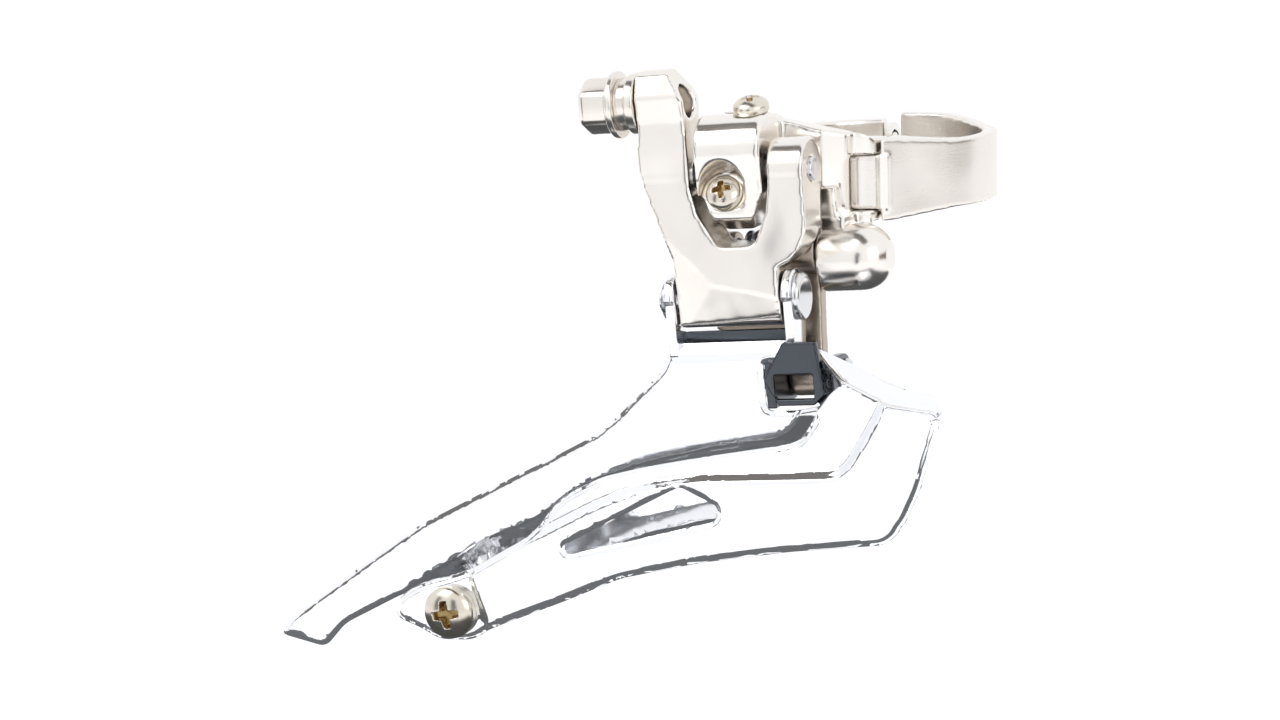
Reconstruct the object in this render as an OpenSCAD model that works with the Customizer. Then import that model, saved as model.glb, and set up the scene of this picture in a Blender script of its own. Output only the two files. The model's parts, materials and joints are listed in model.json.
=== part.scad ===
// Clamp-on front derailleur for a double chainset, in millimetres.
// +X points to the front of the bicycle, +Y towards the frame's left side and +Z up the seat tube.
// The origin is the centre of the clamp's bore.  The cage therefore lies at negative Y.

/* [Clamp] */
// Radius of the seat tube that the clamp closes on
tube_r = 15.9; // [15.85:0.05:16]
// Wall thickness of the clamp ring
band_t = 2.4; // [2.2:0.1:2.8]
// Height of the clamp ring beside the hinge
hinge_h = 12.8; // [12:0.2:13.6]
// Height of the clamp ring at its front and far side
front_h = 10.6; // [10:0.2:11.4]
// Radius of the clamp's hinge pin
hinge_pin_r = 1.25; // [1.1:0.05:1.4]
// Diameter of the clamp bolt's thread
clamp_bolt_d = 5; // [4.8:0.1:5]

/* [Linkage] */
// Upward tilt of the linkage and cage towards the front, in degrees
linkage_tilt = 4; // [3:0.5:5]
// Radius of the four link pins
pin_r = 1.8; // [1.7:0.05:1.9]
// Radial running clearance of every pin
pin_gap = 0.05; // [0.02:0.01:0.08]
// Radial wall of the links' bearing bushes
bush_t = 0.7; // [0.5:0.05:0.8]
// Diameter of the return spring's wire
spring_wire = 1.1; // [0.9:0.1:1.2]

/* [Cage] */
// Thickness of the cage plates
sheet_t = 1.2; // [1:0.1:1.4]
// Outboard face of the inner plate's raised upper zone, measured outboard from the seat tube
inner_raised = 40.6; // [40.4:0.1:40.8]
// Depth of the step from the raised zone to the inner plate's lower zone
inner_step = 4.2; // [4:0.1:4.6]
// Outboard face of the outer plate's base level, measured outboard from the seat tube
outer_base = 49.6; // [49.4:0.1:49.8]
// Height of the outer plate's raised lower zone above its base level
outer_raise = 1.6; // [1.4:0.1:1.8]

/* [Screws] */
// Diameter of the two limit screws' threads
limit_d = 3; // [2.9:0.1:3]
// Diameter of the tail screw's thread
tail_d = 4; // [3.8:0.1:4]
// Diameter of the cable bolt's thread
cable_d = 5; // [4.8:0.1:5]

/* [Hidden] */
$fn = 64;

// Pivot axes as [y, z] in the linkage's own frame; all four run along its X axis.
upper_outer = [-34.5, 3.5];
lower_outer = [-37, -15.5];
pivot_shift = [6, -13.5];
upper_inner = upper_outer + pivot_shift;
lower_inner = lower_outer + pivot_shift;
bush_r = pin_r + pin_gap + bush_t;

// Clamp ring
band_r = tube_r + band_t;
hinge_at = [2, -19.3];
hinge_slot_low = -4.6;
hinge_slot_high = 4;
lug_r = 3.4;
ear_y = 22.2;
ear_r = 4.1;
clamp_core_d = clamp_bolt_d - 1.1;
split_x = -4.4;
band_end_x = -1.6;

// Link widths along X
left_leg = [-27, -18.9];
right_leg = [-6.4, -0.7];
link_foot = [-22.4, -5.5];
ear_t = 1.5;
left_ear_x = link_foot[0] - 0.3 - ear_t;
right_ear_x = link_foot[1] + 0.3;
boss = [-17.6, -7.1];
inner_top = [-19.6, -2.3];
inner_foot = [-7.2, -2.2];

// Cable anchor
cable_at = [-35.8, 15];
cable_x = -26.6;

// Screw axes: the head's seat [x, y, z] and the tilt about X of a screw that first points along +Z
high_seat = [-10, -33.2, 12.6];
high_tilt = 14;
high_len = 17;
low_seat = [-13.6, -38.2, 0.6];
low_tilt = 58;
low_len = 9.5;
tail_at = [-61, -61.6];

inner_low = inner_raised - inner_step;
outer_high = outer_base + outer_raise;

// ---------- helpers ----------

// Places the linkage's own frame in the clamp's frame.
module linkage_frame() {
  rotate([0, -linkage_tilt, 0]) children();
}

// Turns a cylinder or an extrusion from +Z to +X, with its 2D x and y becoming Y and Z.
module along_x(from) {
  translate([from, 0, 0]) rotate([90, 0, 90]) children();
}

// Round bar along X from x0 to x1 about the axis at = [y, z].
module bar_x(at, r, x0, x1) {
  translate([x0, at[0], at[1]]) rotate([0, 90, 0]) cylinder(r = r, h = x1 - x0);
}

// Extrudes an X-Z outline from Y = -outer_face inwards by t.
module sheet(outer_face, t) {
  translate([0, -outer_face + t, 0]) rotate([90, 0, 0]) linear_extrude(t) children();
}

// Unit normal on the left of the step from a to b.
function left_of(a, b) = [a[1] - b[1], b[0] - a[0]] / norm(b - a);

// Normal of an open line at its point i, averaged over the neighbouring steps.
function line_normal(p, i) =
  let (n0 = left_of(p[max(i - 1, 0)], p[max(i, 1)]),
       n1 = left_of(p[min(i, len(p) - 2)], p[min(i + 1, len(p) - 1)]),
       m = n0 + n1)
  m / norm(m);

// Closed outline of a strip of width t on the left of an open line.
function strip(p, t) = concat(p, [for (i = [len(p) - 1 : -1 : 0]) p[i] + t * line_normal(p, i)]);

// Points of an arc about c from angle a0 to a1.
function arc(c, r, a0, a1, n) = [for (i = [0 : n]) c + r * [cos(a0 + (a1 - a0) * i / n), sin(a0 + (a1 - a0) * i / n)]];

// Places children at a limit screw's seat, with the shank along -Z of the children's frame.
module at_screw(seat, tilt) {
  translate(seat) rotate([tilt, 0, 0]) children();
}

// Pan-head screw with a cross recess, head above Z = 0 and shank below.
module pan_screw(d, len, head_d, head_h) {
  difference() {
    union() {
      translate([0, 0, -len]) cylinder(d = d, h = len);
      cylinder(d = head_d, h = head_h * 0.45);
      translate([0, 0, head_h * 0.45])
        intersection() {
          cylinder(d = head_d, h = head_h * 0.55);
          translate([0, 0, head_h * 0.55 - head_d * 0.7]) sphere(r = head_d * 0.7);
        }
    }
    for (a = [0, 90])
      rotate([0, 0, a]) translate([-head_d * 0.29, -head_d * 0.065, head_h * 0.45])
        cube([head_d * 0.58, head_d * 0.13, head_h]);
  }
}

// ---------- clamp ----------

// Ring of the clamp, taller beside the hinge.
module clamp_ring() {
  difference() {
    cylinder(r = band_r, h = hinge_h, center = true);
    cylinder(r = tube_r, h = hinge_h + 2, center = true);
    for (s = [0, 1])
      mirror([0, 0, s]) translate([0, 0, front_h / 2]) rotate([90, 0, 0])
        linear_extrude(4 * band_r, center = true)
          polygon([[7, hinge_h / 2 - front_h / 2], [15, 0], [30, 0], [30, 8], [7, 8]]);
  }
}

// Half-space wedge used to split the ring into its two halves.
module behind(x) {
  translate([x - 60, -40, -20]) cube([60, 80, 40]);
}

module bolt_ear(x0, x1) {
  intersection() {
    union() {
      translate([x0, 0, 0]) rotate([0, 90, 0]) translate([0, ear_y, 0]) cylinder(r = ear_r, h = x1 - x0);
      translate([x0, tube_r + 0.2, -ear_r]) cube([x1 - x0, ear_y - tube_r - 0.2, 2 * ear_r]);
    }
    translate([-20, tube_r - 3, -10]) cube([40, 20, 20]);
  }
}

module clamp_body() {
  color("gainsboro") difference() {
    union() {
      // fixed half of the ring and its bolt ear
      intersection() {
        cylinder(r = band_r, h = front_h, center = true);
        behind(split_x);
      }
      bolt_ear(-11.5, split_x);
      hinge_block();
      linkage_frame() {
        pivot_boss();
        lower_boss();
        spring_lug();
      }
    }
    cylinder(r = tube_r, h = 80, center = true);
    // hinge slot, with room for the band's knuckle and pin
    translate([0, 0, hinge_slot_low]) linear_extrude(hinge_slot_high - hinge_slot_low)
      polygon([[-2.2, 2 - tube_r], [-2.2, -20.6], [0.5, -22.2], [1.6, -23.6], [1.6, -60], [30, -60], [30, 2 - tube_r]]);
    translate([hinge_at[0], hinge_at[1], -12]) cylinder(r = hinge_pin_r, h = 30);
    translate([-30, ear_y, 0]) rotate([0, 90, 0]) cylinder(d = clamp_bolt_d + 0.5, h = 40);
    linkage_frame() body_cuts();
  }
}

// Block between the seat tube and the linkage, sloping down to the hinge lugs.
module hinge_block() {
  front = -29;
  right = hinge_at[0] - 0.1;
  intersection() {
    translate([0, 0, -7]) linear_extrude(24)
      polygon(concat([[-17, -8], [-17, front], [right - 3.1, front + 0.8], [right, front + 3.4]],
                     arc(hinge_at, lug_r, -92, 0, 8), [[5.4, -12], [-2, -8]]));
    translate([-30, 0, 0]) rotate([90, 0, 90]) linear_extrude(60)
      polygon([[-30, -7], [-30, 11.2], [-27, 11.2], [-21, hinge_h / 2 + 0.2], [0, hinge_h / 2 - 0.8],
               [0, -6.3], [-22, -6.3]]);
    rotate([90, 0, 0]) linear_extrude(40)
      polygon([[-18, -7], [-18, 11.2], [-12.4, 11.2], [5.5, 7], [5.5, -7]]);
  }
}

// Boss between the outer link's legs, with the upper outer pin through it.
module pivot_boss() {
  intersection() {
    along_x(boss[0]) linear_extrude(boss[1] - boss[0])
      polygon(concat([[-27, -5], [-36.5, -5], [-39.6, -3]], arc([-34.5, 6.8], 5.8, 180, 75, 8), [[-27, 11.2]]));
    translate([0, -20, 0]) rotate([90, 0, 0]) linear_extrude(30)
      polygon([[boss[0], 20], [boss[1], 20], [boss[1], 1], [boss[1] - 2.9, -5.2], [boss[0] + 3.4, -5.2], [boss[0], 1]]);
  }
}

// Rounded boss under the hinge that carries the front end of the upper inner pin.
module lower_boss() {
  x0 = inner_top[1] + 0.35;
  r = 5.2;
  straight = 6;
  translate([x0, upper_inner[0] + 0.6, upper_inner[1] - 1.2]) rotate([0, 90, 0]) rotate_extrude()
    intersection() {
      union() {
        square([r, straight]);
        translate([0, straight]) circle(r = r);
      }
      square([r, straight + 0.9 * r]);
    }
  translate([x0, -29, -10]) cube([2.8, 12, 9.8]);
  // shoulder that runs from the block's face down into the boss
  along_x(x0) linear_extrude(hinge_at[0] - 0.1 - x0) polygon([[-21, -4], [-28.2, -4], [-32.6, -9.6], [-27.9, -11.2], [-21, -11.2]]);
  along_x(x0) linear_extrude(straight) polygon([[-21, -6.9], [-30.4, -6.9], [-32.6, -9.6], [-27.9, -11.2], [-21, -11.2]]);
}

// Lug and web that carry the rear end of the upper inner pin.
module spring_lug() {
  x0 = inner_top[0] - 2.8;
  bar_x(upper_inner, 3.6, x0, x0 + 2.5);
  translate([x0, -28.6, -10]) cube([2.5, 9, 11]);
  translate([x0, -28.6, -4.6]) cube([8, 14, 5.6]);
}

module body_cuts() {
  // pins
  bar_x(upper_outer, pin_r, boss[0] - 1, boss[1] + 1);
  bar_x(upper_inner, pin_r, -30, 5.5);
  // room for the inner link's knuckles and the spring
  bar_x(upper_inner, 4.9, inner_top[0] - 0.3, inner_top[1] + 0.35);
  translate([inner_top[0] - 0.3, -33.4, -20]) cube([inner_top[1] - inner_top[0] + 0.65, 12, 10]);
  // recess of the low limit screw and its seat
  at_screw(low_seat, low_tilt) cylinder(d = 7.4, h = 20);
  at_screw(low_seat, low_tilt) translate([0, 0, -30]) cylinder(d = limit_d + 0.1, h = 31);
  at_screw(high_seat, high_tilt) cylinder(d = 7.4, h = 20);
  at_screw(high_seat, high_tilt) translate([0, 0, -24]) cylinder(d = limit_d + 0.1, h = 25);
  // pockets of the two thread locks
  at_screw(low_seat, low_tilt) translate([0, 0, -2.2]) cylinder(d = 5, h = 2.3);
  at_screw(high_seat, high_tilt) translate([0, 0, -2.2]) cylinder(d = 5, h = 2.3);
}

// Outline of the band's straight run from the hinge to where it meets the ring.
function band_shoulder() =
  let (p = [5.75, -21.2], d = norm(p), a = atan2(p[1], p[0]) + acos(band_r / d), t = [cos(a), sin(a)])
  [p, t * band_r, t * (tube_r + 0.01), [5.75, -14.5]];

module clamp_band() {
  color("gainsboro") difference() {
    union() {
      intersection() {
        clamp_ring();
        union() {
          translate([5.75, -40, -20]) cube([60, 80, 40]);
          translate([band_end_x, 0, -20]) cube([60, 40, 40]);
        }
      }
      intersection() {
        translate([0, 0, -hinge_h / 2]) linear_extrude(hinge_h) polygon(band_shoulder());
        translate([0, 40, 0]) rotate([90, 0, 0]) linear_extrude(80)
          polygon([[0, hinge_h / 2], [7, hinge_h / 2], [15, front_h / 2], [15, -front_h / 2], [7, -hinge_h / 2], [0, -hinge_h / 2]]);
      }
      // knuckle between the body's two lugs
      translate([0, 0, hinge_slot_low + 0.1]) linear_extrude(hinge_slot_high - hinge_slot_low - 0.2) {
        translate(hinge_at) circle(r = 2.5);
        polygon([[hinge_at[0], hinge_at[1] - 2.5], [7, -20.5], [7, -14.6], [hinge_at[0], -16]]);
      }
      bolt_ear(band_end_x, 4.4);
    }
    cylinder(r = tube_r, h = 80, center = true);
    translate([hinge_at[0], hinge_at[1], -20]) cylinder(r = hinge_pin_r + pin_gap, h = 40);
    translate([-30, ear_y, 0]) rotate([0, 90, 0]) cylinder(d = clamp_bolt_d + 0.2, h = 60);
  }
}

module clamp_hinge_pin() {
  color("silver") translate([hinge_at[0], hinge_at[1], -6.1]) cylinder(r = hinge_pin_r, h = 12.4);
}

module clamp_bolt() {
  head_x = -11.5 - 1;
  color("darkgray") difference() {
    union() {
      translate([head_x, ear_y, 0]) rotate([0, 90, 0]) cylinder(d = clamp_bolt_d - 0.1, h = split_x - head_x);
      translate([split_x, ear_y, 0]) rotate([0, 90, 0]) cylinder(d = clamp_core_d, h = 9);
      translate([head_x - 5, ear_y, 0]) rotate([0, 90, 0]) cylinder(d = 8.2, h = 5);
    }
    translate([head_x - 5.1, ear_y, 0]) rotate([0, 90, 0]) cylinder(d = 4.6, h = 3, $fn = 6);
  }
}

module clamp_bolt_washer() {
  color("silver") translate([-12.5, ear_y, 0]) rotate([0, 90, 0]) difference() {
    cylinder(d = 8.4, h = 1);
    translate([0, 0, -1]) cylinder(d = clamp_bolt_d + 0.1, h = 3);
  }
}

// ---------- linkage ----------

// Front view of the outer link: cable arm, two legs around the body's boss, and the foot.
function link_outline() = [
  [cable_x, 20], [-21.4, 20], [left_leg[1], 15.4], [left_leg[1], 2], [-17.9, -2], [-15.2, -6.6], [-14, -7.2],
  [-10, -7.2], [-8.8, -6.6], [-6.9, -2], [right_leg[0], 2], [right_leg[0], 8.6], [right_leg[1], 8.6],
  [right_leg[1], -5], [-1.6, -7.6], [-3.4, -9.6], [link_foot[1], -10.6], [link_foot[1], -19.9],
  [link_foot[0], -19.9], [link_foot[0], -9], [-26.5, 2.8], [left_leg[0], 5], [left_leg[0], 8], [cable_x, 9.5]];

module outer_link() {
  color("gainsboro") linkage_frame() difference() {
    intersection() {
      rotate([90, 0, 0]) linear_extrude(60) polygon(link_outline());
      union() {
        bar_x(upper_outer, 5, -30, 1);
        bar_x(lower_outer, 4.3, -30, 1);
        along_x(-30) linear_extrude(32)
          polygon([[-39.3, 5], [-41.2, -14.6], [-33.8, -17], [-33.5, -13], [-31.2, -1], [-29.9, 2]]);
        along_x(-30) linear_extrude(14)
          polygon([[-39.5, 3], [-39.2, 12], [-39.6, 16], [-38.4, 19.4], [-34.4, 20.5], [-31.6, 17], [-31.8, 11], [-29.9, 5]]);
      }
    }
    bar_x(upper_outer, bush_r, left_leg[0] + 1.4, left_leg[1] + 1);
    bar_x(upper_outer, pin_r + pin_gap, -40, 5);
    bar_x(upper_outer, bush_r, right_leg[0] - 1, right_leg[1] - 1.4);
    bar_x(lower_outer, pin_r + pin_gap, -40, 5);
    bar_x(cable_at, cable_d / 2 + 0.05, -40, 5);
    // hollow under the foot
    along_x(-17) linear_extrude(6) polygon([[-36.5, -8.6], [-31, -8.6], [-31, -11.4], [-36, -10.8]]);
  }
}

module bush_x(at, x0, x1) {
  translate([x0, at[0], at[1]]) rotate([0, 90, 0]) difference() {
    cylinder(r = bush_r, h = x1 - x0);
    translate([0, 0, -1]) cylinder(r = pin_r + pin_gap, h = x1 - x0 + 2);
  }
}

module outer_link_bushes() {
  color("dimgray") linkage_frame() {
    bush_x(upper_outer, left_leg[0] + 1.4, left_leg[1]);
    bush_x(upper_outer, right_leg[0], right_leg[1] - 1.4);
  }
}

// Rear view of the inner link: two knuckles above, a wide blade and a narrow foot.
module inner_link() {
  top_z = upper_inner[1];
  color("tan") linkage_frame() difference() {
    intersection() {
      rotate([90, 0, 0]) linear_extrude(60)
        polygon([[inner_top[0], top_z + 6], [inner_top[0], -21], [-16, -23.8], [-9.2, -24.8],
                 [inner_foot[0], -24.8], [inner_foot[0], -33],
                 [inner_foot[1], -33], [inner_foot[1], -24], [inner_top[1], -22], [inner_top[1], top_z + 6],
                 [inner_top[1] - 4, top_z + 6], [inner_top[1] - 4, top_z - 4.6], [inner_top[0] + 4, top_z - 4.6],
                 [inner_top[0] + 4, top_z + 6]]);
      union() {
        bar_x(upper_inner, 3.7, -30, 0);
        bar_x(lower_inner, 3, -30, 0);
        along_x(-30) linear_extrude(30)
          polygon([[-30, -12.6], [-30.7, -18.4], [-32.6, -27.6], [-29.4, -27.6], [-26.8, -12.6]]);
      }
    }
    bar_x(upper_inner, bush_r, -40, 5);
    bar_x(lower_inner, pin_r + pin_gap, -40, 5);
  }
}

module inner_link_bushes() {
  color("dimgray") linkage_frame() {
    bush_x(upper_inner, inner_top[0], inner_top[0] + 4);
    bush_x(upper_inner, inner_top[1] - 4, inner_top[1]);
  }
}

module upper_outer_pin() {
  color("silver") linkage_frame() bar_x(upper_outer, pin_r, left_leg[0] - 0.7, right_leg[1] + 0.5);
}

module upper_inner_pin() {
  color("silver") linkage_frame() bar_x(upper_inner, pin_r, inner_top[0] - 3.2, 5.4);
}

module lower_outer_pin() {
  color("silver") linkage_frame() {
    bar_x(lower_outer, pin_r, left_ear_x - 1.6, right_ear_x + ear_t);
    bar_x(lower_outer, 3.7, right_ear_x + ear_t, right_ear_x + ear_t + 1.3);
  }
}

module lower_inner_pin() {
  color("silver") linkage_frame() {
    bar_x(lower_inner, pin_r, -10.4, 0.9);
    bar_x(lower_inner, 2.6, 0.9, 1.8);
  }
}

module pin_clips() {
  color("dimgray") linkage_frame()
    for (c = [[lower_outer, left_ear_x - 0.8], [lower_inner, -9.8]])
      translate([c[1], c[0][0], c[0][1]]) rotate([0, 90, 0]) difference() {
        cylinder(r = 3, h = 0.6);
        translate([0, 0, -1]) cylinder(r = pin_r, h = 3);
        translate([-1.1, 0, -1]) cube([2.2, 5, 3]);
      }
}

// Torsion spring around the upper inner pin, with one leg on the body and one on the inner link.
spring_turns = 5.5;
spring_r = 3.2;
spring_steps = 16;
spring_pitch = 1.35;
function spring_point(t) =
  [-14.5 + spring_pitch * t, upper_inner[0] + spring_r * cos(360 * t + 180), upper_inner[1] + spring_r * sin(360 * t + 180)];
function spring_line() =
  let (a = spring_point(0), b = spring_point(spring_turns))
  concat([a + [0, 0.1, -6]], [for (i = [0 : spring_turns * spring_steps]) spring_point(i / spring_steps)], [b + [0, 0, 3]]);

// Tube of radius r along the points p, with k sides; its rings stand square to the X axis helix.
module swept_tube(p, r, k) {
  n = len(p);
  dirs = [for (i = [0 : n - 1]) let (d = p[min(i + 1, n - 1)] - p[max(i - 1, 0)]) d / norm(d)];
  rings = [for (i = [0 : n - 1])
    let (u = cross([1, 0, 0], dirs[i]), e = u / norm(u), f = cross(dirs[i], e))
    for (j = [0 : k - 1]) p[i] + r * (cos(360 * j / k) * e + sin(360 * j / k) * f)];
  sides = [for (i = [0 : n - 2], j = [0 : k - 1])
    [i * k + j, (i + 1) * k + j, (i + 1) * k + (j + 1) % k, i * k + (j + 1) % k]];
  polyhedron(rings, concat([[for (j = [0 : k - 1]) j]], sides, [[for (j = [k - 1 : -1 : 0]) (n - 1) * k + j]]));
}

module return_spring() {
  color("slategray") linkage_frame() swept_tube(spring_line(), spring_wire / 2, 8);
}

module high_limit_screw() {
  color("silver") linkage_frame() at_screw(high_seat, high_tilt) pan_screw(limit_d, high_len, 5.6, 2.4);
}

module low_limit_screw() {
  color("silver") linkage_frame() at_screw(low_seat, low_tilt) pan_screw(limit_d, low_len, 5.6, 2.4);
}

module limit_screw_locks() {
  color("ivory") linkage_frame()
    for (s = [[high_seat, high_tilt], [low_seat, low_tilt]])
      at_screw(s[0], s[1]) translate([0, 0, -2.2]) difference() {
        cylinder(d = 5, h = 2.1);
        translate([0, 0, -1]) cylinder(d = limit_d + 0.1, h = 4);
      }
}

module cable_bolt() {
  color("silver") linkage_frame() translate([0, cable_at[0], cable_at[1]]) rotate([0, 90, 0]) {
    translate([0, 0, cable_x - 3.4]) cylinder(d = cable_d, h = 10.8);
    translate([0, 0, cable_x - 4.8]) cylinder(d = 10.4, h = 1.4);
    translate([0, 0, cable_x - 9.4]) intersection() {
      cylinder(d = 9.2, h = 4.7, $fn = 6);
      union() {
        cylinder(d1 = 6.8, d2 = 9.3, h = 1.6, $fn = 48);
        translate([0, 0, 1.6]) cylinder(d = 9.3, h = 3.2);
      }
    }
  }
}

module cable_washer() {
  color("silver") linkage_frame() translate([cable_x - 3.4, cable_at[0], cable_at[1]]) rotate([0, 90, 0]) difference() {
    union() {
      cylinder(d = 8.2, h = 1.8);
      translate([0, 0, 1.8]) cylinder(d = 9.4, h = 1.5);
    }
    translate([0, 0, -1]) cylinder(d = cable_d + 0.1, h = 6);
  }
}

// ---------- cage ----------

// Line of the inner plate's step, from the tail to the front edge of the raised zone.
function step_line() = [
  [-88.7, -70], [-84.6, -66], [-74, -60.8], [-58.6, -52.6], [-48, -48.4], [-42.8, -44.6], [-37.5, -42.4],
  [-30.6, -40.4], [-20.5, -38.4], [-8.6, -36.8], [-5.6, -35.2], [-4.4, -32.6]];

// Upper edge of the inner plate's raised zone, from its front top corner back to the tail's tip.
function raised_top() = [
  [-4.4, -21.9], [-24.2, -21.9], [-25.2, -25.4], [-28.1, -28], [-33.7, -32.8], [-37.7, -35.7], [-46.3, -39.6],
  [-55.2, -43.4], [-70, -50], [-82.9, -57.8], [-94.4, -65], [-96.7, -67.8]];

// Lower edge of the inner plate's lower zone, from the tail forwards and up the nose.
function low_bottom() = [
  [-70, -60.2], [-66, -66], [-56, -66], [-50, -60], [-42, -56.6], [-31.5, -53], [-18.2, -50.6], [-3.7, -49.4],
  [6, -48.8], [10.4, -47], [14, -42], [16.8, -33.4], [12, -30.6], [4, -27.2], [1.4, -26]];

module cage_ear(x0) {
  // folded inwards from the plate's top edge, with the lower outer pin's hole
  along_x(x0) linear_extrude(ear_t) difference() {
    union() {
      translate(lower_outer) circle(r = 4.3);
      translate([-inner_raised, -24.2]) square([5.4, 8.7]);
    }
    translate(lower_outer) circle(r = pin_r);
  }
}

module inner_cage_plate() {
  step = step_line();
  color("white") linkage_frame() difference() {
    union() {
      sheet(inner_raised, sheet_t) polygon(concat(step, raised_top()));
      // step wall
      sheet(inner_raised, inner_step + sheet_t) polygon(strip(step, sheet_t));
      sheet(inner_low, sheet_t) polygon(concat(low_bottom(), [for (i = [11 : -1 : 2]) step[i] + sheet_t * line_normal(step, i)]));
      cage_ear(left_ear_x);
      cage_ear(right_ear_x);
    }
    // notch behind the link bracket
    translate([-9.1, -60, -32.5]) cube([10.3, 60, 7.7]);
    translate([tail_at[0], 0, tail_at[1]]) rotate([90, 0, 0]) cylinder(d = tail_d, h = 60);
    for (p = rivet_at) translate([p[0], 0, p[1]]) rotate([90, 0, 0]) cylinder(d = 2.4, h = 60);
  }
}

rivet_at = [[5.5, -31.6], [11.4, -34.4]];

// Line of the outer plate's crease between base level and raised zone, from the tail to the nose.
function crease_line() = [
  [-57, -54.9], [-34.4, -44.7], [-27.6, -42.4], [-18, -41], [4.2, -40.8], [6, -39.8], [7.8, -37.6], [12.4, -30.6]];

module outer_slot() {
  // long triangle with rounded corners
  polygon(concat(arc([-39.4, -51.4], 0.9, 130, 290, 5), arc([-16.4, -45.9], 1.7, 290, 395, 5), arc([-20.6, -43.9], 1.8, 60, 118, 4)));
}

module outer_cage_plate() {
  crease = crease_line();
  color("white") linkage_frame() difference() {
    union() {
      // raised lower zone
      sheet(outer_high, sheet_t) polygon(concat(crease,
        [[21.6, -31.6], [17.2, -43], [14.6, -47.6]], arc([9.4, -46.6], 4.8, -20, -85, 4),
        [[-3.7, -52.2], [-18.2, -53.8], [-31.5, -56.2], [-41.8, -60], [-54.2, -64]]));
      // crease wall
      sheet(outer_high, outer_raise + sheet_t) polygon(strip(crease, sheet_t));
      // base level above the crease, and the tail tab
      sheet(outer_base, sheet_t) polygon(concat([for (i = [len(crease) - 1 : -1 : 0]) crease[i] + sheet_t * line_normal(crease, i)],
        [[-44, -46.8], [-39.4, -43], [-34, -40.8], [-27, -39.4], [-17.4, -38], [-5, -36.4], [-1.2, -35.8],
         [3.7, -28.8], [7, -26.9]]));
      sheet(outer_base, sheet_t) polygon([[-54.2, -64], [-57, -54.7], [-61.4, -56.2], [-66.2, -57.3], [-70, -59], [-71.4, -62.4],
        [-66.6, -64.4], [-64, -66.4], [-58, -66.6]]);
      bridge();
    }
    translate([tail_at[0], 0, tail_at[1]]) rotate([90, 0, 0]) cylinder(d = tail_d + 0.1, h = 60);
    translate([0, -outer_high - 1, 0]) mirror([0, 1, 0]) rotate([90, 0, 0]) linear_extrude(5) outer_slot();
    for (p = rivet_at) translate([p[0], -45, p[1]]) rotate([90, 0, 0]) mirror([0, 0, 1]) cylinder(d = 2.4, h = 20);
  }
}

// Roof over the chain that joins the two plates at the nose, with a flange riveted to the inner plate.
module bridge() {
  roof = [[21.6, -31.9], [12.6, -30.4], [6.2, -26.8]];
  y0 = -outer_high;
  y1 = -inner_low;
  translate([0, y1, 0]) rotate([90, 0, 0]) linear_extrude(y1 - y0 - 0.2) polygon(strip(roof, -sheet_t));
  sheet(inner_low + sheet_t, sheet_t)
    polygon([[16.4, -33.2], [12.6, -30.4], [6.2, -26.8], [3, -28.6], [3, -33.6], [10.4, -37], [14.6, -36]]);
}

module link_bracket() {
  color("dimgray") linkage_frame() difference() {
    union() {
      sheet(inner_raised + 1.4, 1.3) polygon([[-5.4, -21.9], [0, -21.9], [0.9, -30], [-1, -31.6], [-6.6, -31.6], [-8.8, -27.6]]);
      for (x = [-8.9, -0.6])
        along_x(x) linear_extrude(1.5)
          polygon(concat([[-inner_raised - 0.1, -24.9], [-inner_raised - 0.1, -32.2]], arc(lower_inner, 3.4, -90, 90, 12)));
    }
    bar_x(lower_inner, pin_r, -12, 5);
    translate([-7.1, -60, -30.6]) cube([6.2, 60 - inner_raised + 2, 3.8]);
  }
}

module cage_rivets() {
  color("silver") linkage_frame() for (p = rivet_at)
    translate([p[0], 0, p[1]]) rotate([90, 0, 0]) {
      translate([0, 0, inner_low - sheet_t - 0.7]) cylinder(d = 3.8, h = 0.7);
      translate([0, 0, inner_low - sheet_t]) cylinder(d = 2.4, h = 2 * sheet_t);
      translate([0, 0, inner_low + sheet_t]) cylinder(d = 3.8, h = 0.6);
    }
}

module tail_screw() {
  color("silver") linkage_frame() translate([tail_at[0], -outer_base, tail_at[1]]) rotate([90, 0, 0])
    pan_screw(tail_d, outer_base - inner_low + sheet_t + 2.4, 8.3, 3);
}

module tail_spacer() {
  color("silver") linkage_frame() translate([tail_at[0], -inner_low, tail_at[1]]) rotate([90, 0, 0]) difference() {
    cylinder(d = 6.6, h = outer_base - sheet_t - inner_low);
    translate([0, 0, -1]) cylinder(d = tail_d, h = 20);
  }
}

module tail_nut() {
  color("silver") linkage_frame() translate([tail_at[0], -inner_low + sheet_t, tail_at[1]]) rotate([-90, 0, 0]) difference() {
    cylinder(d = 7, h = 2.4);
    translate([0, 0, -1]) cylinder(d = tail_d, h = 5);
  }
}

clamp_body();
clamp_band();
clamp_hinge_pin();
clamp_bolt();
clamp_bolt_washer();
outer_link();
outer_link_bushes();
inner_link();
inner_link_bushes();
upper_outer_pin();
upper_inner_pin();
lower_outer_pin();
lower_inner_pin();
pin_clips();
return_spring();
high_limit_screw();
low_limit_screw();
limit_screw_locks();
cable_bolt();
cable_washer();
inner_cage_plate();
outer_cage_plate();
link_bracket();
cage_rivets();
tail_screw();
tail_spacer();
tail_nut();
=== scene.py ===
"""Clamp-on front derailleur: detailed meshes, finishes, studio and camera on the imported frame."""

import json
import logging
import math
from collections.abc import Callable, Sequence
from dataclasses import dataclass, field
from enum import Enum

import bmesh
import bpy
from mathutils import Matrix, Vector


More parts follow.
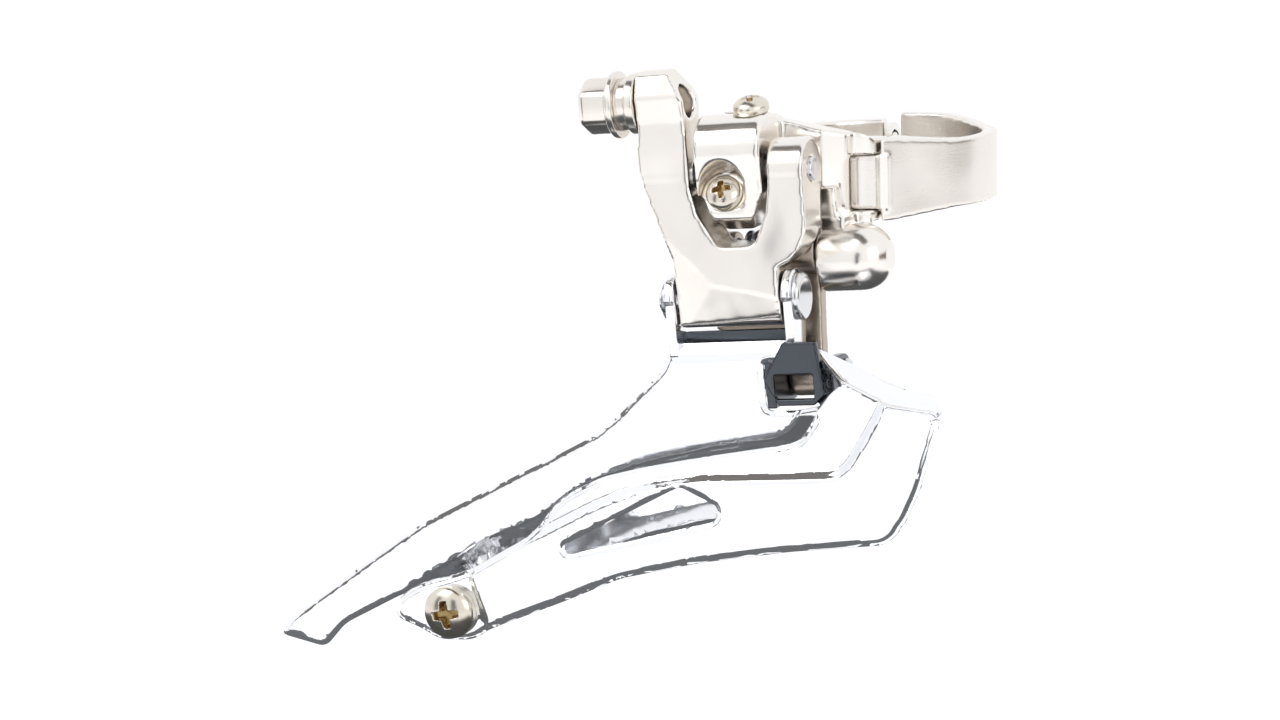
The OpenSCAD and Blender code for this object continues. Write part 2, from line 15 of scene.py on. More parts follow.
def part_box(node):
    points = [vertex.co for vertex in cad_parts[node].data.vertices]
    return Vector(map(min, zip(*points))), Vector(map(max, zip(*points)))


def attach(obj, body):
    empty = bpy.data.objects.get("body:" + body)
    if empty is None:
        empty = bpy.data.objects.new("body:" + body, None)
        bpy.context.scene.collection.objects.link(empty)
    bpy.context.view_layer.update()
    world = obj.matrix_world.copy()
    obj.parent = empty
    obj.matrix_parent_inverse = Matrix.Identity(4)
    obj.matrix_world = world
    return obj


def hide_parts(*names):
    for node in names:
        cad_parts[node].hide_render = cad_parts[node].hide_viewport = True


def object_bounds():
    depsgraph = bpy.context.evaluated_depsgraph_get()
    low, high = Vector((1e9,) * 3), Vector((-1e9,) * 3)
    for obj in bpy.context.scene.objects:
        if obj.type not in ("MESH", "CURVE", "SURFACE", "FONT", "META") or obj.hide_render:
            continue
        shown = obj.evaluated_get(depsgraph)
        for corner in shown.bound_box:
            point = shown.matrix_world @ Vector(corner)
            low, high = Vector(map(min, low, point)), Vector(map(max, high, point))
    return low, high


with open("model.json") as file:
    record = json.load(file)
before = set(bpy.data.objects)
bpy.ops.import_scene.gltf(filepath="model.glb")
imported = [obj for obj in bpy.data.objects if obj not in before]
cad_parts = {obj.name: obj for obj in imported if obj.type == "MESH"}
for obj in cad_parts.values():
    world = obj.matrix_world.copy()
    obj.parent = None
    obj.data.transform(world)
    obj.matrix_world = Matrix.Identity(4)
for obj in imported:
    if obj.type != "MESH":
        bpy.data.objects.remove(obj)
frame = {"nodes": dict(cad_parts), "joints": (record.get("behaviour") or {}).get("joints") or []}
CAD_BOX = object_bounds()
LOG = logging.getLogger("front_derailleur")

MM = 0.001
JOINTS = {joint["name"]: joint for joint in frame["joints"]}
LINK_AXIS = Vector(JOINTS["outer_link"]["axis"]).normalized()
TILT = Matrix.Rotation(-math.atan2(-LINK_AXIS.z, -LINK_AXIS.x), 4, "Y")
LEVEL = Matrix.Identity(4)
SHARP_ANGLE = 38.0
FLOOR_HALF_WIDTH = 7.0

Point = tuple[float, float]


def pivot(joint: str) -> Point:
    """Gives a link joint's axis as (y, z) in the linkage's own frame, in millimetres."""
    spot = TILT.inverted() @ Vector(JOINTS[joint]["pos_m"])
    return spot.y / MM, spot.z / MM


# ---------------------------------------------------------------- shader maths


class Value:
    """A socket that takes part in arithmetic; every operation adds a Math node."""

    def __init__(self, graph: "Graph", socket: bpy.types.NodeSocket) -> None:
        """Keeps the socket and the graph it belongs to."""
        self.graph = graph
        self.socket = socket

    def _math(self, operation: str, first: object, second: object) -> "Value":
        """Adds one Math node."""
        return self.graph.node("ShaderNodeMath", {"operation": operation}, {0: first, 1: second})

    def __add__(self, other: object) -> "Value":
        """Adds."""
        return self._math("ADD", self, other)

    def __radd__(self, other: object) -> "Value":
        """Adds, reflected."""
        return self._math("ADD", other, self)

    def __sub__(self, other: object) -> "Value":
        """Subtracts."""
        return self._math("SUBTRACT", self, other)

    def __rsub__(self, other: object) -> "Value":
        """Subtracts, reflected."""
        return self._math("SUBTRACT", other, self)

    def __mul__(self, other: object) -> "Value":
        """Multiplies."""
        return self._math("MULTIPLY", self, other)

    def __rmul__(self, other: object) -> "Value":
        """Multiplies, reflected."""
        return self._math("MULTIPLY", other, self)

    def __pow__(self, other: object) -> "Value":
        """Raises to a power."""
        return self._math("POWER", self, other)


class Graph:
    """The node tree of one material."""

    def __init__(self, name: str) -> None:
        """Starts an empty material."""
        self.material = bpy.data.materials.new(name)
        self.material.use_nodes = True
        self.tree = self.material.node_tree
        self.tree.nodes.clear()

    def node(
        self,
        kind: str,
        settings: dict[str, object] | None = None,
        inputs: dict[str | int, object] | None = None,
        output: str | int = 0,
    ) -> Value:
        """Adds a node of any kind.

        Args:
            kind: The node's type.
            settings: Properties set first.
            inputs: Values, or Value links, by socket name or number.
            output: The output that the expression goes on with.

        Returns:
            The chosen output as a Value.
        """
        made = self.tree.nodes.new(kind)
        for key, setting in (settings or {}).items():
            setattr(made, key, setting)
        for key, given in (inputs or {}).items():
            socket = made.inputs[key]
            if isinstance(given, Value):
                self.tree.links.new(given.socket, socket)
            else:
                socket.default_value = given
        chosen = made.outputs[output] if made.outputs else None
        return Value(self, chosen)

    def noise(self, scale: tuple[float, float, float], detail: float = 2.0, turn: float = 0.0) -> Value:
        """Noise on the object's own coordinates.

        Args:
            scale: Waves per metre along X, Y and Z.
            detail: How many finer layers are added.
            turn: Turn of the pattern about Y, in radians.

        Returns:
            The noise's height, 0 to 1.
        """
        coordinates = self.node("ShaderNodeTexCoord", output="Object")
        mapping = {"Vector": coordinates, "Rotation": (0, turn, 0), "Scale": scale}
        placed = self.node("ShaderNodeMapping", None, mapping)
        return self.node("ShaderNodeTexNoise", None, {"Vector": placed, "Scale": 1.0, "Detail": detail}, "Fac")

    def finish(self, shader: Value) -> bpy.types.Material:
        """Connects the shader to the material's output."""
        self.node("ShaderNodeOutputMaterial", None, {"Surface": shader})
        return self.material


class Grain(Enum):
    """Direction of a metal's finest marks, as waves per metre along X, Y and Z."""

    CAST = (2600.0, 2600.0, 2600.0)
    ROUND_TUBE = (160.0, 160.0, 9000.0)
    ROLLED = (220.0, 2500.0, 7000.0)
    TURNED = (9000.0, 350.0, 350.0)
    UPRIGHT = (6500.0, 2500.0, 260.0)


@dataclass(frozen=True)
class MetalFinish:
    """A bare or plated metal.

    Attributes:
        name: Its name; the material is called NAME_finish.
        colour: Base colour.
        tint: Colour of its cloudier patches.
        roughness: Mean roughness.
        spread: How much the roughness varies.
        grain: Direction of the finest marks.
        depth: Height of the marks, in metres.
        edge: Radius by which the shading rounds a sharp edge, in metres.
        metallic: Share of mirror-like metal; the rest is the milky haze of fine polishing marks.
        swell: Height of the long, shallow waves that hand polishing leaves, in metres.
    """

    name: str
    colour: tuple[float, float, float]
    tint: tuple[float, float, float]
    roughness: float
    spread: float
    grain: Grain
    depth: float
    edge: float = 0.00012
    metallic: float = 1.0
    swell: float = 0.0

    def material(self) -> bpy.types.Material:
        """Builds the finish, or gives the one already built."""
        title = f"{self.name}_finish"
        if title in bpy.data.materials:
            return bpy.data.materials[title]
        graph = Graph(title)
        clouds = graph.noise((45.0, 45.0, 45.0), 3.0)
        smears = graph.noise((260.0, 140.0, 200.0), 4.0, 0.5)
        marks = graph.noise(self.grain.value, 3.0)
        colour = graph.node(
            "ShaderNodeMix",
            {"data_type": "RGBA"},
            {0: clouds**1.6, 6: (*self.colour, 1), 7: (*self.tint, 1)},
            2,
        )
        roughness = self.roughness + self.spread * (smears - 0.5) + self.spread * 0.7 * (marks - 0.5)
        rounded = graph.node("ShaderNodeBevel", {"samples": 4}, {"Radius": self.edge})
        if self.swell:
            waves = graph.noise((95.0, 60.0, 70.0), 1.0, 0.4)
            rounded = graph.node(
                "ShaderNodeBump", None, {"Strength": 1.0, "Distance": self.swell, "Height": waves, "Normal": rounded}
            )
        relief = graph.node(
            "ShaderNodeBump",
            None,
            {"Strength": 0.5, "Distance": self.depth, "Height": marks + 0.6 * smears, "Normal": rounded},
        )
        return graph.finish(
            graph.node(
                "ShaderNodeBsdfPrincipled",
                None,
                {"Base Color": colour, "Metallic": self.metallic, "Roughness": roughness, "Normal": relief},
            )
        )


@dataclass(frozen=True)
class PolymerFinish:
    """A moulded polymer with a fine, faintly mottled skin."""

    name: str
    colour: tuple[float, float, float]
    roughness: float

    def material(self) -> bpy.types.Material:
        """Builds the finish, or gives the one already built."""
        title = f"{self.name}_finish"
        if title in bpy.data.materials:
            return bpy.data.materials[title]
        graph = Graph(title)
        speckle = graph.noise((3500.0, 3500.0, 3500.0), 4.0)
        clouds = graph.noise((300.0, 300.0, 300.0), 2.0)
        darker = tuple(0.8 * part for part in self.colour)
        mixed = {0: clouds, 6: (*self.colour, 1), 7: (*darker, 1)}
        colour = graph.node("ShaderNodeMix", {"data_type": "RGBA"}, mixed, 2)
        relief = graph.node("ShaderNodeBump", None, {"Strength": 0.4, "Distance": 0.00003, "Height": speckle})
        shine = self.roughness + 0.15 * (speckle - 0.5)
        return graph.finish(
            graph.node("ShaderNodeBsdfPrincipled", None, {"Base Color": colour, "Roughness": shine, "Normal": relief})
        )


POLISHED = MetalFinish(
    name="polished_alloy",
    colour=(0.90, 0.865, 0.82),
    tint=(0.80, 0.755, 0.70),
    roughness=0.20,
    spread=0.08,
    grain=Grain.CAST,
    depth=0.000003,
    swell=0.0008,
)
BAND = MetalFinish(
    name="brushed_band",
    colour=(0.90, 0.865, 0.82),
    tint=(0.80, 0.75, 0.70),
    roughness=0.26,
    spread=0.12,
    grain=Grain.ROUND_TUBE,
    depth=0.000006,
    swell=0.0005,
)
CHROME = MetalFinish(
    name="cage_chrome",
    colour=(0.93, 0.935, 0.95),
    tint=(0.86, 0.87, 0.90),
    roughness=0.06,
    spread=0.05,
    grain=Grain.ROLLED,
    depth=0.000002,
    metallic=0.93,
)
WARM_ALLOY = MetalFinish(
    name="inner_link_alloy",
    colour=(0.50, 0.43, 0.36),
    tint=(0.38, 0.32, 0.26),
    roughness=0.30,
    spread=0.14,
    grain=Grain.UPRIGHT,
    depth=0.00001,
)
# Dark steel: the bracket's own colour; on the inner plate's web between the ears the same dark colour is painted shade.
DARK_STEEL_AND_PAINTED_SHADE = MetalFinish(
    name="bracket_steel",
    colour=(0.095, 0.105, 0.12),
    tint=(0.06, 0.065, 0.075),
    roughness=0.22,
    spread=0.14,
    grain=Grain.ROLLED,
    depth=0.000008,
)
PIN_STEEL = MetalFinish(
    name="pin_steel",
    colour=(0.76, 0.76, 0.77),
    tint=(0.64, 0.64, 0.66),
    roughness=0.20,
    spread=0.12,
    grain=Grain.TURNED,
    depth=0.000006,
)
NICKEL = MetalFinish(
    name="screw_nickel",
    colour=(0.76, 0.71, 0.63),
    tint=(0.64, 0.57, 0.46),
    roughness=0.21,
    spread=0.14,
    grain=Grain.CAST,
    depth=0.000008,
)
# Darker, browner colour for the faces inside a screw's cross recess: painted shade in the recess.
RECESS_PAINTED_SHADE = MetalFinish(
    name="screw_recess_painted_shade",
    colour=(0.46, 0.33, 0.15),
    tint=(0.30, 0.20, 0.09),
    roughness=0.30,
    spread=0.20,
    grain=Grain.CAST,
    depth=0.00001,
)
BOLT_STEEL = MetalFinish(
    name="bolt_steel",
    colour=(0.88, 0.84, 0.79),
    tint=(0.77, 0.72, 0.66),
    roughness=0.20,
    spread=0.10,
    grain=Grain.TURNED,
    depth=0.000008,
)
SPRING_STEEL = MetalFinish(
    name="spring_steel",
    colour=(0.44, 0.45, 0.48),
    tint=(0.30, 0.31, 0.34),
    roughness=0.28,
    spread=0.16,
    grain=Grain.CAST,
    depth=0.000008,
)
BUSH_POLYMER = PolymerFinish("bush_polymer", (0.05, 0.05, 0.052), 0.5)
LOCK_NYLON = PolymerFinish("lock_nylon", (0.80, 0.78, 0.70), 0.45)
Finish = MetalFinish | PolymerFinish


# ---------------------------------------------------------------- outlines


def arc(centre: Point, radius: float, start: float, end: float, steps: int) -> list[Point]:
    """Points of an arc, its angles in degrees."""
    turns = [math.radians(start + (end - start) * i / steps) for i in range(steps + 1)]
    return [(centre[0] + radius * math.cos(t), centre[1] + radius * math.sin(t)) for t in turns]


def rounded(points: Sequence[Point], radius: float, steps: int = 5, closed: bool = True) -> list[Point]:
    """Rounds an outline's corners.

    Args:
        points: The outline's corners.
        radius: How far from a corner its round starts, less on short sides.
        steps: Points along each round.
        closed: Whether the outline returns to its start.

    Returns:
        The rounded outline.
    """
    count = len(points)
    result: list[Point] = []
    for i, corner in enumerate(points):
        if not closed and i in (0, count - 1):
            result.append(tuple(corner))
            continue
        here = Vector(corner)
        before = Vector(points[i - 1]) - here
        after = Vector(points[(i + 1) % count]) - here
        start = here + before * min(radius / before.length, 0.45)
        end = here + after * min(radius / after.length, 0.45)
        for k in range(steps + 1):
            t = k / steps
            spot = start * (1 - t) ** 2 + here * 2 * t * (1 - t) + end * t**2
            result.append((spot.x, spot.y))
    return result


def distance_to(spot: Point, line: Sequence[Point], closed: bool = False) -> float:
    """Distance from a point to the nearest stretch of a line."""
    ends = list(line[1:]) + ([line[0]] if closed else [])
    best = math.inf
    for (ax, az), (bx, bz) in zip(line, ends):
        dx, dz = bx - ax, bz - az
        share = ((spot[0] - ax) * dx + (spot[1] - az) * dz) / max(dx * dx + dz * dz, 1e-9)
        share = min(max(share, 0.0), 1.0)
        best = min(best, math.hypot(spot[0] - ax - share * dx, spot[1] - az - share * dz))
    return best


def within(spot: Point, outline: Sequence[Point]) -> bool:
    """Whether a point lies inside a closed outline."""
    hit = False
    for (ax, az), (bx, bz) in zip(outline, list(outline[1:]) + [outline[0]]):
        if (az > spot[1]) != (bz > spot[1]) and spot[0] < ax + (spot[1] - az) * (bx - ax) / (bz - az):
            hit = not hit
    return hit


def ease(amount: float) -> float:
    """Smooth step from 0 to 1."""
    held = min(max(amount, 0.0), 1.0)
    return held * held * (3 - 2 * held)


# ---------------------------------------------------------------- workpieces


class Workpiece:
    """A mesh under construction, in millimetres, in the frame of the sub-assembly it belongs to."""

    def __init__(self) -> None:
        """Starts an empty mesh."""
        self.bm = bmesh.new()

    @classmethod
    def from_node(cls, node: str, place: Matrix) -> "Workpiece":
        """Copies a CAD node into millimetres in the given frame, with its loose triangles merged."""
        piece = cls()
        piece.bm.from_mesh(frame["nodes"][node].data)
        piece.bm.transform(Matrix.Scale(1 / MM, 4) @ place.inverted())
        bmesh.ops.remove_doubles(piece.bm, verts=piece.bm.verts, dist=0.004)
        return piece

    @classmethod
    def lathe(cls, profile: Sequence[Point], steps: int = 72) -> "Workpiece":
        """Spins a profile about Z.

        Args:
            profile: (radius, height) points, from pole to pole or once round a ring's section.
            steps: Sides of the full turn.

        Returns:
            The turned piece.
        """
        piece = cls()
        verts = [piece.bm.verts.new((radius, 0, height)) for radius, height in profile]
        edges = [piece.bm.edges.new(pair) for pair in zip(verts, verts[1:])]
        if profile[0][0] > 0.001:
            edges.append(piece.bm.edges.new((verts[-1], verts[0])))
        bmesh.ops.spin(
            piece.bm,
            geom=verts + edges,
            cent=(0, 0, 0),
            axis=(0, 0, 1),
            angle=math.tau,
            steps=steps,
            use_merge=True,
        )
        bmesh.ops.remove_doubles(piece.bm, verts=piece.bm.verts, dist=0.001)
        bmesh.ops.recalc_face_normals(piece.bm, faces=piece.bm.faces)
        return piece

    @classmethod
    def prism(cls, outline: Sequence[Point], depth: float, bevel: float = 0.0, segments: int = 3) -> "Workpiece":
        """Extrudes an outline in the XY plane up along Z and rounds its rims."""
        piece = cls()
        verts = [piece.bm.verts.new((x, y, 0)) for x, y in outline]
        base = piece.bm.faces.new(verts)
        made = bmesh.ops.extrude_face_region(piece.bm, geom=[base])
        top = [v for v in made["geom"] if isinstance(v, bmesh.types.BMVert)]
        bmesh.ops.translate(piece.bm, verts=top, vec=(0, 0, depth))
        bmesh.ops.recalc_face_normals(piece.bm, faces=piece.bm.faces)
        if bevel:
            piece.bevel(bevel, segments, 60.0)
        return piece

    def bevel(self, width: float, segments: int, sharper_than: float) -> "Workpiece":
        """Rounds every edge that turns by more than the given angle, in degrees."""
        limit = math.radians(sharper_than)
        edges = [e for e in self.bm.edges if len(e.link_faces) == 2 and e.calc_face_angle() > limit]
        bmesh.ops.bevel(
            self.bm,
            geom=edges,
            offset=width,
            segments=segments,
            profile=0.5,
            affect="EDGES",
            material=-1,
        )
        return self

    def cut(self, through: Vector, outward: Vector) -> "Workpiece":
        """Cuts off what lies beyond a plane and closes the cut."""
        made = bmesh.ops.bisect_plane(
            self.bm,
            geom=self.bm.verts[:] + self.bm.edges[:] + self.bm.faces[:],
            dist=1e-4,
            plane_co=through,
            plane_no=outward,
            clear_outer=True,
        )
        edges = [e for e in made["geom_cut"] if isinstance(e, bmesh.types.BMEdge)]
        bmesh.ops.triangle_fill(self.bm, edges=edges, use_beauty=True, use_dissolve=False)
        bmesh.ops.recalc_face_normals(self.bm, faces=self.bm.faces)
        return self

    def softened(self, grid: float, passes: int) -> "Workpiece":
        """Rebuilds the skin on an even grid and relaxes it, as polishing rounds a casting."""
        mesh = bpy.data.meshes.new("rough")
        self.bm.transform(Matrix.Scale(MM, 4))
        self.bm.to_mesh(mesh)
        carrier = bpy.data.objects.new("rough", mesh)
        bpy.context.scene.collection.objects.link(carrier)
        remesh = carrier.modifiers.new("even skin", "REMESH")
        remesh.mode = "VOXEL"
        remesh.voxel_size = grid * MM
        remesh.use_smooth_shade = True
        graph = bpy.context.evaluated_depsgraph_get()
        even = bpy.data.meshes.new_from_object(carrier.evaluated_get(graph))
        self.bm.clear()
        self.bm.from_mesh(even)
        self.bm.transform(Matrix.Scale(1 / MM, 4))
        for _ in range(passes):
            bmesh.ops.smooth_vert(
                self.bm, verts=self.bm.verts, factor=0.5, use_axis_x=True, use_axis_y=True, use_axis_z=True
            )
        bpy.data.objects.remove(carrier)
        bpy.data.meshes.remove(mesh)
        bpy.data.meshes.remove(even)
        return self

    def along_x(self, start: float, at: Point) -> "Workpiece":
        """Lays the piece's Z axis along +X, from start, about the axis at = (y, z)."""
        self.bm.transform(Matrix.Translation((start, *at)) @ Matrix.Rotation(math.pi / 2, 4, "Y"))
        return self

    def outboard(self, outer_face: float, at: Point = (0.0, 0.0)) -> "Workpiece":
        """Stands the piece on the plane Y = -outer_face with its Z axis pointing outboard."""
        self.bm.transform(Matrix.Translation((at[0], -outer_face, at[1])) @ Matrix.Rotation(math.pi / 2, 4, "X"))
        return self

    def moved(self, matrix: Matrix) -> "Workpiece":
        """Applies any placement, in millimetres."""
        self.bm.transform(matrix)
        return self

    def join(self, other: "Workpiece") -> "Workpiece":
        """Takes another piece's skin into this one."""
        spare = bpy.data.meshes.new("spare")
        other.bm.to_mesh(spare)
        self.bm.from_mesh(spare)
        bpy.data.meshes.remove(spare)
        other.bm.free()
        return self

    def finished(
        self,
        name: str,
        body: str,
        finish: Finish,
        place: Matrix,
        stands_for: Sequence[str] = (),
        recess_shade: Finish | None = None,
    ) -> bpy.types.Object:
        """Makes the object, dresses it and lets it ride on its body.

        Args:
            name: The piece's name.
            body: The body it moves with.
            finish: Its metal or polymer.
            place: The frame that it was built in.
            stands_for: The CAD nodes that it replaces.
            recess_shade: The finish of the faces marked 1, a darker colour that paints shade into a screw's cross
                recess.

        Returns:
            The finished object, at the origin.
        """
        self.bm.transform(place @ Matrix.Scale(MM, 4))
        mesh = bpy.data.meshes.new(name)
        self.bm.to_mesh(mesh)
        self.bm.free()
        mesh.shade_smooth()
        mesh.set_sharp_from_angle(angle=math.radians(SHARP_ANGLE))
        piece = bpy.data.objects.new(name, mesh)
        bpy.context.scene.collection.objects.link(piece)
        mesh.materials.append(finish.material())
        if recess_shade:
            mesh.materials.append(recess_shade.material())
        if stands_for:
            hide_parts(*stands_for)
        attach(piece, body)
        LOG.info("%s: %d vertices", name, len(mesh.vertices))
        return piece


def dress_node(node: str, finish: Finish) -> None:
    """Gives a carried-over CAD node its finish."""
    data = frame["nodes"][node].data
    data.materials.clear()
    data.materials.append(finish.material())
    LOG.info("%s: CAD node dressed", node)


def cylinder_profile(radius: float, length: float, chamfer: float) -> list[Point]:
    """Profile of a bar from height 0 to length with rounded ends."""
    corners = [(0.0, 0.0), (radius, 0.0), (radius, length), (0.0, length)]
    return rounded(corners, chamfer, 4, closed=False)


def ring_profile(inner: float, outer: float, length: float, chamfer: float) -> list[Point]:
    """Section of a washer or tube from height 0 to length with rounded rims."""
    return rounded([(inner, 0.0), (outer, 0.0), (outer, length), (inner, length)], chamfer, 3)


# ---------------------------------------------------------------- fasteners


@dataclass
class CrossScrew:
    """Pan-head screw with a cross recess and a rolled thread, its head above Z = 0.

    Attributes:
        thread: Diameter of the thread.
        length: Length under the head.
        head: Diameter of the head.
        height: Height of the head.
        pitch: Spacing of the thread's turns.
        turn: Turn of the cross, in degrees.
    """

    thread: float
    length: float
    head: float
    height: float
    pitch: float = 0.5
    turn: float = 0.0

    def build(self) -> Workpiece:
        """Builds the head with its recess, then the threaded shank."""
        screw = self._head()
        screw.join(self._shank())
        return screw

    def _head(self) -> Workpiece:
        """Domed head whose top sinks into a tapered cross."""
        radius = self.head / 2
        rim = 0.38 * self.height
        rings = 46
        quarter = [math.pi / 2 * i / rings for i in range(rings)]
        dome = [(radius * math.sin(t), rim + (self.height - rim) * math.cos(t) ** 1.15) for t in quarter]
        foot = [(radius, rim), (radius, 0.12), (radius - 0.12, 0.0), (self.thread / 2 - 0.05, 0.0), (0.0, 0.0)]
        head = Workpiece.lathe(dome + foot, 128)
        sunken = set()
        cosine, sine = math.cos(math.radians(self.turn)), math.sin(math.radians(self.turn))
        for vert in head.bm.verts:
            if vert.co.z < rim:
                continue
            x = abs(vert.co.x * cosine + vert.co.y * sine)
            y = abs(vert.co.y * cosine - vert.co.x * sine)
            along, across = max(x, y), min(x, y)
            reach = 0.56 * radius
            half_width = 0.15 * radius * (1.12 - 0.35 * along / reach)
            sunk = ease((half_width - across) / (0.055 * radius) + 0.5) * ease((reach - along) / (0.16 * radius))
            core = ease((0.27 * radius - math.hypot(x, y)) / (0.08 * radius))
            depth = self.height * (0.62 - 0.22 * along / reach)
            sink = max(sunk, core)
            vert.co.z -= depth * sink
            if sink > 0.3:
                sunken.add(vert)
        # The sunken faces take the second material, whose darker colour is painted shade in the cross recess.
        for face in head.bm.faces:
            if all(vert in sunken for vert in face.verts):
                face.material_index = 1
        return head

    def _shank(self) -> Workpiece:
        """Shank whose surface rises and falls once per turn of the thread."""
        root = 0.88 * self.thread / 2
        crest = 0.985 * self.thread / 2
        steps = 24
        per_turn = 6
        rows = max(int(self.length / self.pitch * per_turn), 8)
        profile = [(0.0, -self.length)] + [
            (root, -self.length + (self.length - 0.02) * i / rows) for i in range(rows + 1)
        ]
        shank = Workpiece.lathe(profile + [(0.0, -0.02)], steps)
        for vert in shank.bm.verts:
            radius = math.hypot(vert.co.x, vert.co.y)
            if radius < 0.5 * root:
                continue
            phase = vert.co.z / self.pitch - math.atan2(vert.co.y, vert.co.x) / math.tau
            rise = 0.5 + 0.5 * math.cos(math.tau * phase)
            taper = ease((vert.co.z + self.length) / self.pitch) * ease(-vert.co.z / self.pitch)
            scale = (root + (crest - root) * rise * taper) / radius
            vert.co.x *= scale
            vert.co.y *= scale
        return shank


@dataclass
class PressedPlate:
    """Sheet cut to an outline and pressed into levels, built on a fine grid of cuts.

    Attributes:
        outline: The sheet's edge as (x, z) points.
        holes: Closed outlines cut out of it.
        face: Outboard distance of a point of its outer face, given (x, z).
        folds: Lines that the pressing follows, with the offsets at which its levels change.
        cell: Spacing of the grid.
        thickness: Thickness of the sheet.
        edge_round: Rounding of its cut edges.
    """

    outline: Sequence[Point]
    holes: Sequence[Sequence[Point]]
    face: Callable[[Point], float]
    folds: Sequence[tuple[Sequence[Point], Sequence[float]]] = ()
    cell: float = 1.4
    thickness: float = 1.2
    edge_round: float = 0.22

    def build(self) -> Workpiece:
        """Fills the outline, cuts the grid and presses the levels."""
        plate = Workpiece()
        bm = plate.bm
        for loop in (self.outline, *self.holes):
            verts = [bm.verts.new((x, 0, z)) for x, z in loop]
            for first, second in zip(verts, verts[1:] + verts[:1]):
                bm.edges.new((first, second))
        bmesh.ops.triangle_fill(bm, edges=bm.edges[:], use_beauty=True, use_dissolve=False, normal=(0, -1, 0))
        xs = [x for x, _ in self.outline]
        zs = [z for _, z in self.outline]
        self._slice(bm, Vector((1, 0, 0)), min(xs), max(xs))
        self._slice(bm, Vector((0, 0, 1)), min(zs), max(zs))
        for line, offsets in self.folds:
            for offset in offsets:
                self._crease(bm, line, offset)
        for face in bm.faces:
            if face.normal.y > 0:
                face.normal_flip()
        for vert in bm.verts:
            vert.co.y = -self.face((vert.co.x, vert.co.z))
        return plate

    def _slice(self, bm: bmesh.types.BMesh, normal: Vector, low: float, high: float) -> None:
        """Cuts the sheet across one direction at every cell."""
        count = int((high - low) / self.cell)
        for i in range(1, count + 1):
            bmesh.ops.bisect_plane(
                bm,
                geom=bm.verts[:] + bm.edges[:] + bm.faces[:],
                dist=1e-4,
                plane_co=normal * (low + i * self.cell),
                plane_no=normal,
            )

    @staticmethod
    def _crease(bm: bmesh.types.BMesh, line: Sequence[Point], offset: float) -> None:
        """Cuts the sheet beside a line, stretch by stretch, so that its edges follow it."""
        past_ends, beside = 0.9, 1.3
        for start, end in zip(line, line[1:]):
            a = Vector((start[0], 0, start[1]))
            b = Vector((end[0], 0, end[1]))
            along = (b - a).normalized()
            across = Vector((-along.z, 0, along.x))
            through = a + across * offset
            length = (b - a).length
            near = []
            for face in bm.faces:
                spot = face.calc_center_median() - through
                if -past_ends < spot.dot(along) < length + past_ends and abs(spot.dot(across)) < beside:
                    near.append(face)
            edges = {edge for face in near for edge in face.edges}
            verts = {vert for face in near for vert in face.verts}
            bmesh.ops.bisect_plane(
                bm, geom=[*near, *edges, *verts], dist=0.02, plane_co=through, plane_no=across
            )

    def fold(
        self, plate: Workpiece, keep: Callable[[Vector], bool], rows: Sequence[Callable[[Vector], Vector]]
    ) -> None:
        """Draws part of the sheet's edge out into a folded wall.

        Args:
            plate: The pressed sheet.
            keep: Chooses the edge's points.
            rows: For each row of the fold, where a point of the edge goes.
        """
        bm = plate.bm
        edges = [e for e in bm.edges if e.is_boundary and all(keep(v.co) for v in e.verts)]
        starts = {}
        for move in rows:
            made = bmesh.ops.extrude_edge_only(bm, edges=edges)["geom"]
            fresh = [v for v in made if isinstance(v, bmesh.types.BMVert)]
            for vert in fresh:
                twin = min(
                    (e.other_vert(vert) for e in vert.link_edges if e.other_vert(vert) not in fresh),
                    key=lambda other: (other.co - vert.co).length,
                )
                starts[vert] = starts.get(twin, twin.co.copy())
                vert.co = move(starts[vert])
            edges = [e for e in made if isinstance(e, bmesh.types.BMEdge) and all(v in fresh for v in e.verts)]
        bmesh.ops.recalc_face_normals(bm, faces=bm.faces)
        if sum(face.normal.y * face.calc_area() for face in bm.faces) > 0:
            bmesh.ops.reverse_faces(bm, faces=bm.faces)

    def thicken(self, piece: bpy.types.Object) -> None:
        """Gives the finished sheet its wall and rounds its cut edges."""
        wall = piece.modifiers.new("wall", "SOLIDIFY")
        wall.thickness = self.thickness * MM
        wall.offset = -1
        wall.use_even_offset = False
        rim = piece.modifiers.new("rim", "BEVEL")
        rim.width = self.edge_round * MM
        rim.segments = 2
        rim.limit_method = "ANGLE"
        rim.angle_limit = math.radians(50)
        flats = piece.modifiers.new("flats", "WEIGHTED_NORMAL")
        flats.mode = "FACE_AREA"
        flats.weight = 80


# ---------------------------------------------------------------- clamp


